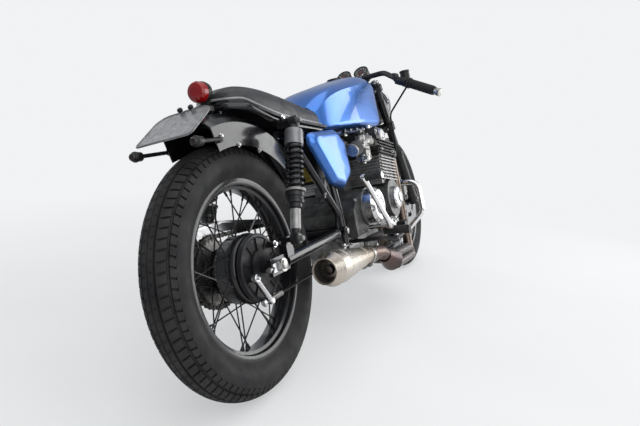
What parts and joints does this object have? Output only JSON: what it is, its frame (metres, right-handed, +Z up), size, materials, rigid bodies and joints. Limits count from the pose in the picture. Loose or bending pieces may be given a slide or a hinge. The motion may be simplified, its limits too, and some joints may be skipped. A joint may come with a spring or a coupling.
{
  "type": "cafe racer motorcycle",
  "caption": "Cafe racer motorcycle leaning on its side stand: rounded tank, thin upswept seat, four-cylinder engine, laced wheels, low bars, short megaphone muffler.",
  "frame": {"origin": "middle of the bounding box at floor level", "axes": "+X forward, +Y to the rider's left, +Z up; the motorcycle leans towards +Y on its side stand"},
  "size_m": [2.0599, 0.8126, 0.9507],
  "materials": {
    "tyre_rubber": "matt",
    "wheel_black": "gloss",
    "sprocket_steel": "satin",
    "disc_steel": "satin",
    "frame_black": "gloss",
    "satin_black": "satin",
    "shock_finish": "satin",
    "tank_blue": "metallic gloss",
    "chrome": "polished",
    "alloy": "satin",
    "engine_dark": "satin",
    "stainless": "brushed",
    "header_steel": "heat tinted",
    "seat_black": "grained",
    "plastic_black": "satin",
    "rubber_black": "matt",
    "lens_red": "gloss",
    "plate_grey": "satin",
    "chain_steel": "oiled",
    "filter_black": "matt"
  },
  "bodies": {
    "chassis": {"air_filters": "filter_black", "brake_panel": "satin_black", "brake_pedal": "satin_black", "carburettors": "alloy", "chain_guard": "alloy", "crankcase": "alloy", "cylinder_block": "engine_dark", "cylinder_head": "engine_dark", "drive_chain": "chain_steel", "electrics_box": "plastic_black", "engine_guard": "chrome", "exhaust_headers": "header_steel", "filler_cap": "chrome", "footpegs": "rubber_black", "frame_backbone": "frame_black", "frame_left_loop": "frame_black", "frame_right_loop": "frame_black", "fuel_tank": "tank_blue", "gear_lever": "satin_black", "kick_starter": "satin_black", "left_engine_covers": "chrome", "muffler": "stainless", "number_plate": "plate_grey", "rear_axle": "alloy", "rear_indicators": "plastic_black", "rear_mudguard": "frame_black", "right_engine_covers": "chrome", "seat": "seat_black", "seat_pan": "satin_black", "seat_rails": "frame_black", "shock_absorbers": "shock_finish", "side_covers": "tank_blue", "swingarm": "frame_black", "tail_light": "plastic_black", "tail_light_lens": "lens_red"},
    "steering": {"triple_clamps": "satin_black", "fork_legs": "satin_black", "handlebar": "satin_black", "grips": "rubber_black", "bar_controls": "satin_black", "instruments": "plastic_black", "headlight": "frame_black", "brake_caliper": "satin_black", "front_brake_hose": "rubber_black"},
    "front_wheel": {"front_tyre": "tyre_rubber", "front_wheel": "wheel_black", "brake_disc": "disc_steel"},
    "rear_wheel": {"rear_tyre": "tyre_rubber", "rear_wheel": "wheel_black", "rear_sprocket": "sprocket_steel"},
    "side_stand": {"side_stand": "satin_black"}
  },
  "joints": [
    {"name": "steering", "type": "hinge", "parent": "chassis", "child": "steering", "pos_m": [0.44235, 0.00209, 0.72758], "axis": [-0.4387, 0.2466, 0.8641], "range_deg": [-30, 30]},
    {"name": "front_wheel_spin", "type": "hinge", "parent": "steering", "child": "front_wheel", "pos_m": [0.70574, -0.11546, 0.31512], "axis": [-0.0026, 0.9613, -0.2756], "continuous": true},
    {"name": "rear_wheel_spin", "type": "hinge", "parent": "chassis", "child": "rear_wheel", "pos_m": [-0.69925, -0.11725, 0.32237], "axis": [-0.0026, 0.9613, -0.2756], "continuous": true},
    {"name": "side_stand_fold", "type": "hinge", "parent": "chassis", "child": "side_stand", "pos_m": [-0.10959, -0.01696, 0.13675], "axis": [0.2311, 0.767, 0.5985], "range_deg": [0, 109.8]}
  ]
}
